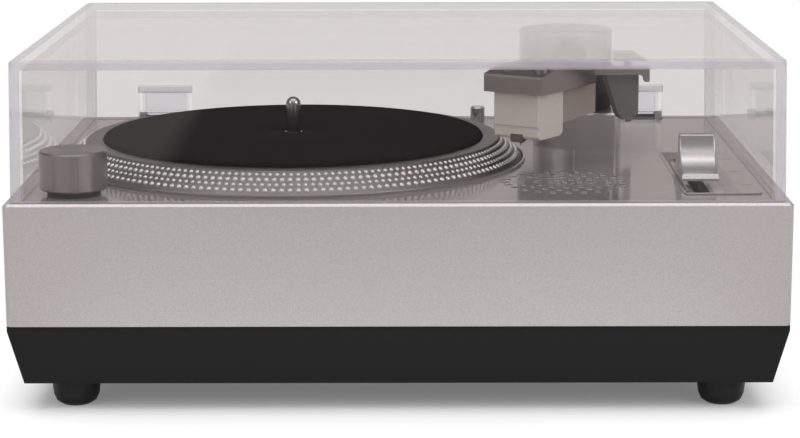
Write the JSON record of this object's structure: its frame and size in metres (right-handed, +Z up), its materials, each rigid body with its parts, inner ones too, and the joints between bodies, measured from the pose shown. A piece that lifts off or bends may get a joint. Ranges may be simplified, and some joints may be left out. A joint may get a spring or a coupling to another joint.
{
  "type": "turntable",
  "caption": "Small belt-driven record turntable: silver plinth, felt-topped platter, bent tonearm with cartridge, slider, knob, grille and clear hinged cover",
  "frame": {"origin": "on the ground under the middle of the plinth", "axes": "+X to the right seen from the front, +Y to the back, +Z up"},
  "size_m": [0.251, 0.184, 0.1149],
  "materials": {
    "silver_paint": "satin silver paint with a fine sparkle",
    "silver_gloss": "glossy silver",
    "cast_aluminium": "turned and polished",
    "arm_silver": "semi-gloss silver",
    "headshell_grey": "satin grey",
    "steel": "ground",
    "chrome": "polished",
    "brass": "turned",
    "black_plastic": "fine matt grain",
    "dark_plastic": "smooth dark grey",
    "black_rubber": "matt",
    "black_felt": "short felt",
    "cream_plastic": "semi-gloss cream",
    "taupe_plastic": "matt taupe",
    "clear_acrylic": "clear and polished",
    "circuit_board": "green solder mask",
    "speaker_paper": "pressed paper",
    "ferrite": "sintered"
  },
  "bodies": {
    "plinth": {"plinth_shell": "silver_paint", "deck_plate": "silver_gloss", "base_tray": "black_plastic", "rubber_feet": "black_rubber", "case_screws": "steel", "bearing_housing": "brass", "bearing_bush": "brass", "bearing_ball": "steel", "flange_screws": "steel", "drive_belt": "black_rubber", "motor_plate": "steel", "motor_grommets": "black_rubber", "motor_can": "steel", "speaker_frame": "black_plastic", "speaker_cone": "speaker_paper", "speaker_magnet": "ferrite", "knob_ring": "black_plastic", "volume_pot": "black_plastic", "slider_bezel": "silver_gloss", "slide_pot": "black_plastic", "arm_base": "chrome", "arm_bush": "brass", "arm_nut": "steel", "rest_bracket": "black_plastic", "adaptor_peg": "chrome", "main_board": "circuit_board", "board_parts": "black_plastic", "audio_sockets": "black_plastic", "power_socket": "black_plastic", "small_screws": "steel", "hinge_bases": "clear_acrylic", "hinge_pins": "steel"},
    "lid": {"dust_cover": "clear_acrylic", "hinge_blades": "clear_acrylic"},
    "platter_group": {"platter": "cast_aluminium", "slip_mat": "black_felt", "spindle": "steel"},
    "pulley": {"motor_pulley": "brass", "motor_shaft": "steel"},
    "knob": {"volume_knob": "arm_silver", "pot_shaft": "steel"},
    "slider": {"slider_cap": "chrome", "slider_stem": "black_plastic"},
    "arm_post": {"arm_shaft": "steel", "arm_circlip": "steel", "arm_neck": "black_plastic", "arm_pillar": "arm_silver", "lift_pin": "steel"},
    "arm": {"arm_tube": "arm_silver", "headshell": "headshell_grey", "headshell_screws": "steel", "cartridge_front": "cream_plastic", "cartridge_body": "taupe_plastic", "cartridge_terminals": "black_plastic", "cartridge_wires": "black_rubber", "stylus_arm": "dark_plastic", "finger_lift": "headshell_grey", "grip_plate": "dark_plastic"},
    "cue_platform": {"cue_bar": "black_plastic"},
    "cue_handle": {"cue_lever": "arm_silver"}
  },
  "joints": [
    {"name": "lid_hinge", "type": "hinge", "parent": "plinth", "child": "lid", "pos_m": [0, 0.0892, 0.0695], "axis": [-1, 0, 0], "range_deg": [0, 70]},
    {"name": "platter_spin", "type": "hinge", "parent": "plinth", "child": "platter_group", "pos_m": [-0.0373, -0.0015, 0.0695], "axis": [0, 0, -1], "continuous": true},
    {"name": "pulley_spin", "type": "hinge", "parent": "plinth", "child": "pulley", "pos_m": [-0.0868, 0.048, 0.0695], "axis": [0, 0, -1], "continuous": true},
    {"name": "knob_turn", "type": "hinge", "parent": "plinth", "child": "knob", "pos_m": [-0.1051, -0.073, 0.0695], "axis": [0, 0, 1], "range_deg": [-300, 0]},
    {"name": "slider_travel", "type": "slide", "parent": "plinth", "child": "slider", "axis": [0, 1, 0], "range_m": [-0.013, 0.0363]},
    {"name": "arm_swing", "type": "hinge", "parent": "plinth", "child": "arm_post", "pos_m": [0.0606, 0.0295, 0.0695], "axis": [0, 0, -1], "range_deg": [0, 48]},
    {"name": "arm_lift", "type": "hinge", "parent": "arm_post", "child": "arm", "pos_m": [0.0606, 0.0295, 0.1015], "axis": [-1, 0, 0], "range_deg": [0, 4]},
    {"name": "cue_platform_rise", "type": "slide", "parent": "plinth", "child": "cue_platform", "axis": [0, 0, 1], "range_m": [0, 0.0016]},
    {"name": "cue_lever_turn", "type": "hinge", "parent": "plinth", "child": "cue_handle", "pos_m": [0.0829, 0.021, 0.0805], "axis": [1, 0, 0], "range_deg": [0, 20.5]}
  ],
  "couplings": [
    {"joint": "pulley_spin", "follows": "platter_spin", "ratio": 15},
    {"joint": "cue_platform_rise", "follows": "arm_lift", "m_per_rad": 0.0216},
    {"joint": "cue_lever_turn", "follows": "arm_lift", "ratio": 5}
  ]
}
